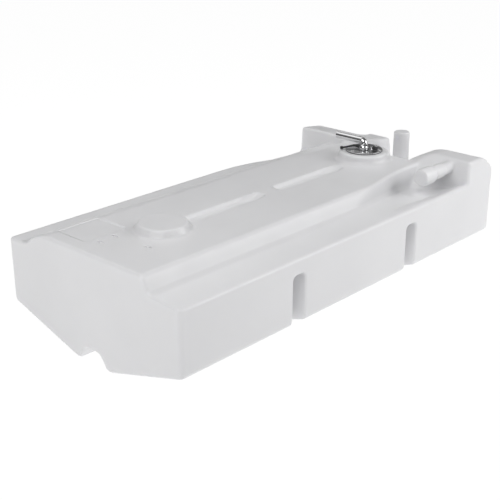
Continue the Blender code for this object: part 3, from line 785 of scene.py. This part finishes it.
def swept(name, path, radius, material, body, nodes, bore=0.0):
    """A round tube along path; with a bore it is open at its end."""
    skin = []
    inside = []
    side = None
    for index, point in enumerate(path):
        before, after = path[max(index - 1, 0)], path[min(index + 1, len(path) - 1)]
        along = (after - before).normalized()
        side = along.orthogonal() if side is None else side - along * side.dot(along)
        side = side.normalized()
        up = along.cross(side)
        skin.append(circle(point, side, up, radius))
        inside.append(circle(point, side, up, bore))
    if bore:
        rim = circle(path[-1] + along * RIM, side, up, (radius + bore) / 2)
        skin += [rim, *reversed(inside[1:])]
    points, faces = rings_between(skin)
    return dressed(name, points, faces, material, body, nodes)


def elbow(base, bend, end):
    """Points from base straight up, round a quarter bend, and on to end."""
    top = Vector((base.x, base.y, end.z - bend))
    aside = Vector((end.x - base.x, end.y - base.y, 0)).normalized()
    points = [base]
    for step in range(BEND_STEPS + 1):
        turn = math.pi / 2 * step / BEND_STEPS
        rise = Vector((0, 0, bend * math.sin(turn)))
        points.append(top + aside * (bend * (1 - math.cos(turn))) + rise)
    return [*points, end]


# ---------------------------------------------------------------- the fitting on the neck


def make_gasket():
    """The rubber ring under the flange plate."""
    radius = PLATE_RADIUS - GASKET_INSET
    profile = [(GASKET_BORE, GAP), (radius, GAP), (radius, GASKET_TOP), (GASKET_BORE, GASKET_TOP)]
    turned("gasket_ring", SEAT, profile, "black_rubber", "tank", ["flange_gasket"], round_off=0.0002)


def make_plate():
    """The flange's steel disc."""
    middle, rim = 0.0002, PLATE_RADIUS
    outline = [(middle, PLATE_LOW), (rim, PLATE_LOW), (rim, PLATE_TOP), (middle, PLATE_TOP)]
    turned("flange_disc", SEAT, outline, "stainless_steel", "tank", ["flange_plate"], round_off=0.0008)


def make_screws():
    """The flange's screw heads, each with a round socket."""
    base = PLATE_TOP + GAP
    profile = [(radius, base + height) for radius, height in SCREW_HEAD]
    for index in range(1, SCREW_COUNT + 1):
        turn = math.radians(SCREW_PHASE + 360 / SCREW_COUNT * (index - 1))
        place = SEAT + Vector((math.cos(turn), math.sin(turn), 0)) * SCREW_CIRCLE
        turned(f"screw_head_{index}", place, profile, "stainless_steel", "tank", [f"flange_screw_{index}"])


def make_sender():
    """The polished dome of the level sender, and the gland that its lead comes out of."""
    base = SEAT_NUT
    crown = PIPE_AXIS - base - SHOULDER
    dome = [
        (0.0053, base),
        (SENDER_RADIUS, base),
        (SENDER_RADIUS, base + 0.0030),
        (DOME_RADIUS, base + 0.0036),
    ]
    for step in range(DOME_STEPS + 1):
        turn = math.pi / 2 * (1 - step / DOME_STEPS)
        dome.append((DOME_RADIUS * math.sin(turn), base + SHOULDER + crown * math.cos(turn)))
    turned("sender_dome", SENDER, dome, "chrome", "tank", ["sender_head"], round_off=0.0002)
    turned("lead_gland", SENDER + GLAND_OFFSET, GLAND, "black_rubber", "tank", ["cable_gland"], (0, 1, 0))


def make_outlet():
    """The draw-off pipe: up from its nut, round a bend and level to the back."""
    foot = OUTLET + Vector((0, 0, PIPE_FOOT))
    bend = PIPE_AXIS - PIPE_FOOT - PIPE_START
    end = Vector((OUTLET.x, SEAT.y + PIPE_REACH, SEAT.z + PIPE_AXIS))
    path = elbow(foot, bend, end)
    swept("outlet_pipe", path, PIPE_RADIUS, "chrome", "outlet", ["outlet_tube"], PIPE_BORE)


def make_vent():
    """The vent's elbow, and the black cap on its end."""
    foot = VENT + Vector((0, 0, PLATE_TOP + GAP))
    end = Vector((VENT.x, SEAT.y - VENT_REACH, SEAT.z + VENT_AXIS))
    path = elbow(foot, VENT_BEND, end)
    swept("vent_elbow", path, VENT_RADIUS, "chrome", "tank", ["vent_stub"], VENT_BORE)
    place = end + Vector((0, CAP_OVERLAP, 0))
    turned("vent_plug", place, CAP, "black_rubber", "vent_cap", ["vent_cap"], (0, -1, 0))


# ---------------------------------------------------------------- the lead


def make_lead():
    """The pigtail and the moulded connector on its end."""
    route = [SEAT + Vector(point) for point in LEAD_ROUTE]
    lead = swept("sender_cable", route, LEAD_DIAMETER / 2, "black_rubber", "tank", ["sender_lead"])
    along = (route[-1] - route[-2]).normalized()
    size = CONNECTOR_LENGTH
    profile = [(0.0029, 0.0), (0.0042, 0.0030), (0.0042, size - 0.0012), (0.0034, size), (0.0001, size)]
    place = route[-1] + along * GAP
    nodes = ["lead_connector"]
    connector = turned("lead_plug", place, profile, "black_plastic", "tank", nodes, along, 0.001)


# ---------------------------------------------------------------- the stage


def make_camera():
    data = bpy.data.cameras.new("camera")
    data.lens = CAMERA_LENS
    data.sensor_width = SENSOR
    camera = bpy.data.objects.new("camera", data)
    camera.location = CAMERA_PLACE
    camera.rotation_euler = (math.radians(CAMERA_TILT), 0, math.radians(CAMERA_TURN))
    bpy.context.scene.collection.objects.link(camera)
    bpy.context.scene.camera = camera


def make_floor():
    reach = FLOOR_REACH
    corners = [(-reach, -reach, 0), (reach, -reach, 0), (reach, reach, 0), (-reach, reach, 0)]
    mesh = bpy.data.meshes.new("floor")
    mesh.from_pydata(corners, [], [(0, 1, 2, 3)])
    mesh.materials.append(floor_paper())
    floor = bpy.data.objects.new("floor", mesh)
    bpy.context.scene.collection.objects.link(floor)


def make_world():
    """A dim studio, nearly black low down, which gives the polished metal its dark lines."""
    world = bpy.data.worlds.new("studio")
    world.use_nodes = True
    tree = world.node_tree
    background = tree.nodes["Background"]
    background.inputs["Strength"].default_value = WORLD_GLOW
    height = tree.nodes.new("ShaderNodeSeparateXYZ")
    tree.links.new(tree.nodes.new("ShaderNodeTexCoord").outputs["Generated"], height.inputs[0])
    band = tree.nodes.new("ShaderNodeMapRange")
    band.inputs["From Min"].default_value = HORIZON_BAND[0]
    band.inputs["From Max"].default_value = HORIZON_BAND[1]
    band.inputs["To Min"].default_value = HORIZON_GLOW
    tree.links.new(height.outputs["Z"], band.inputs["Value"])
    tree.links.new(band.outputs["Result"], background.inputs["Color"])
    bpy.context.scene.world = world


def add_light(name, place, target, width, height, power):
    data = bpy.data.lights.new(name, "AREA")
    data.shape = "RECTANGLE"
    data.size = width
    data.size_y = height
    data.energy = power
    light = bpy.data.objects.new(name, data)
    light.location = place
    light.rotation_euler = (Vector(target) - Vector(place)).to_track_quat("-Z", "Y").to_euler()
    bpy.context.scene.collection.objects.link(light)


def make_stage():
    make_floor()
    make_world()
    for softbox in SOFTBOXES:
        add_light(*softbox)
    bpy.context.scene.view_settings.view_transform = "Standard"


make_camera()
LOOKS = {
    "white_polyethylene": polyethylene(),
    "stainless_steel": stainless(),
    "chrome": chrome(),
    "brass": brass(),
    "black_rubber": rubber(),
    "black_plastic": black_plastic(),
    "grey_float": float_foam(),
}
make_lead()
make_tank(LOOKS["white_polyethylene"])
make_gasket()
make_plate()
make_screws()
make_sender()
make_outlet()
make_vent()
for subpart in frame["record"]["subparts"]:
    node = frame["nodes"][subpart["node"]]
    for slot in node.material_slots:
        slot.material = LOOKS[subpart["material_slot"]]
make_stage()
